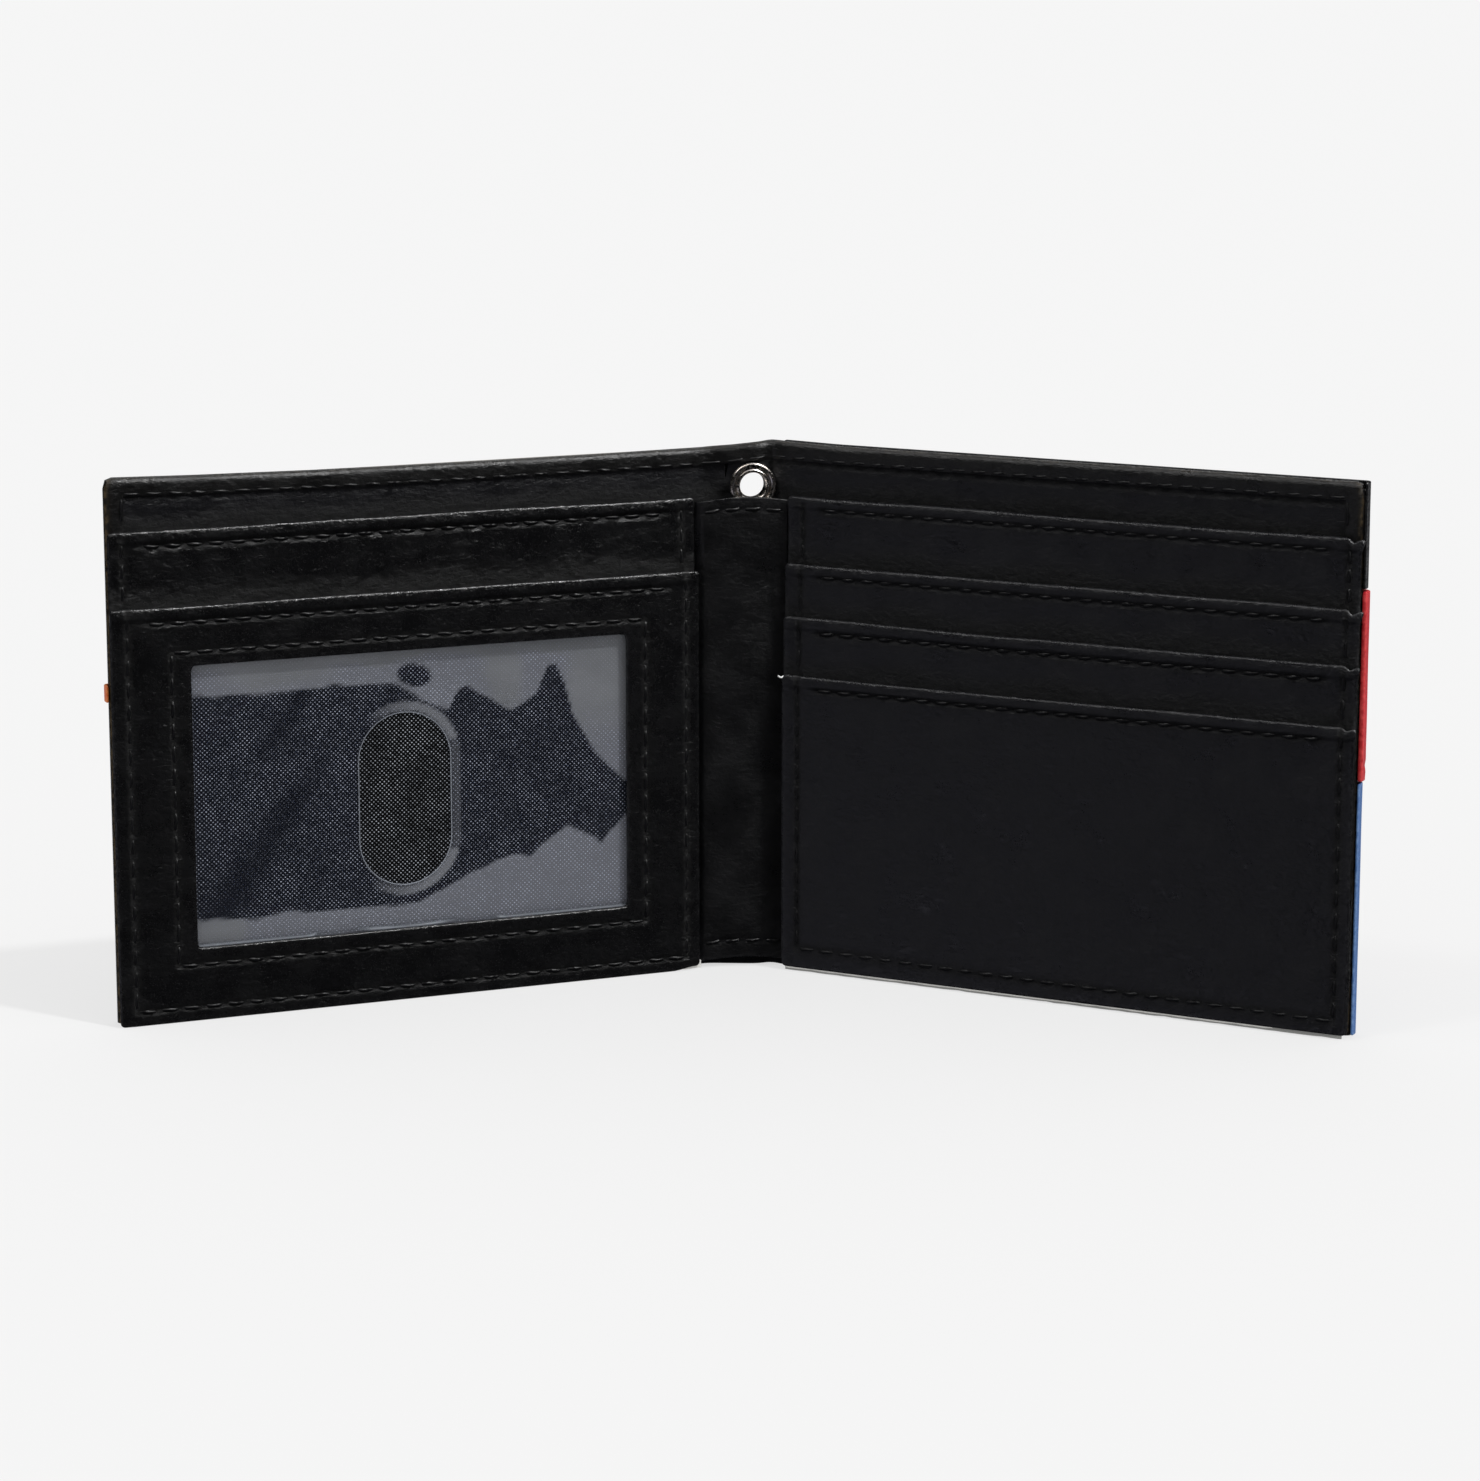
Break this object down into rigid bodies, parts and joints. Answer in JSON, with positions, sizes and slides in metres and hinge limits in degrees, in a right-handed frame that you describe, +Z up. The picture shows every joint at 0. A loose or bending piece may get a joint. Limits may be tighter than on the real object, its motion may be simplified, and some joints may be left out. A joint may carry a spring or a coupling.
{
  "type": "bifold wallet",
  "caption": "Black leather bifold wallet with a clear ID window, stacked card pockets, an open bill compartment, an eyelet in the spine and colour-blocked covers.",
  "frame": {"origin": "middle of the bounding box's base, on the plane that the standing wallet rests on", "axes": "+Z up along the wallet's height and both folds, +X to the right when the pockets are seen, -Y out of the pockets towards the person who uses them"},
  "size_m": [0.2022, 0.0482, 0.089],
  "materials": {
    "black_leather": "fine-grained black leather with a soft sheen",
    "lining": "smooth black lining leather",
    "red_leather": "red leather, satin",
    "blue_leather": "blue leather, satin",
    "orange_leather": "orange leather, satin",
    "woven": "black woven nylon",
    "backing": "pale raw-edged backing cloth",
    "thread": "black sewing thread",
    "board": "grey stiffener board",
    "film": "clear flexible vinyl film",
    "nickel": "dark polished nickel"
  },
  "bodies": {
    "spine": {"eyelet": "nickel", "eyelet_washer": "nickel", "spine_back_foot_seam": "thread", "spine_back_top_seam": "thread", "spine_cover": "black_leather", "spine_edge_seam": "thread", "spine_lining": "lining", "spine_strip": "black_leather", "spine_strip_foot_seam": "thread", "spine_strip_top_seam": "thread"},
    "left_half": {"id_frame": "black_leather", "id_frame_hem_seam": "thread", "id_pocket_lining": "woven", "id_window": "film", "id_window_seam": "thread", "left_back_seam": "thread", "left_bill_wall": "black_leather", "left_board": "board", "left_cover": "black_leather", "left_cover_block": "red_leather", "left_cover_stripe": "orange_leather", "left_edge_seam": "thread", "left_lining": "lining", "left_stack_seam": "thread", "left_wall_hem_seam": "thread"},
    "right_half": {"card_hem_lower_seam": "thread", "card_hem_middle_seam": "thread", "card_hem_upper_seam": "thread", "card_pocket_backing": "backing", "card_pocket_lower": "black_leather", "card_pocket_middle": "black_leather", "card_pocket_upper": "black_leather", "right_back_foot_seam": "thread", "right_back_top_seam": "thread", "right_band_seam": "thread", "right_bill_wall": "black_leather", "right_board": "board", "right_cover": "black_leather", "right_cover_band": "red_leather", "right_cover_foot": "blue_leather", "right_cover_top": "black_leather", "right_edge_seam": "thread", "right_lining": "lining", "right_stack_seam": "thread", "right_wall_hem_seam": "thread"}
  },
  "joints": [
    {"name": "left_fold", "type": "hinge", "parent": "spine", "child": "left_half", "pos_m": [-0.00595, 0.02152, 0.0445], "axis": [0, 0, 1], "range_deg": [-24.5, 65.5]},
    {"name": "right_fold", "type": "hinge", "parent": "spine", "child": "right_half", "pos_m": [0.00595, 0.02152, 0.0445], "axis": [0, 0, -1], "range_deg": [-24.5, 65.5]}
  ]
}
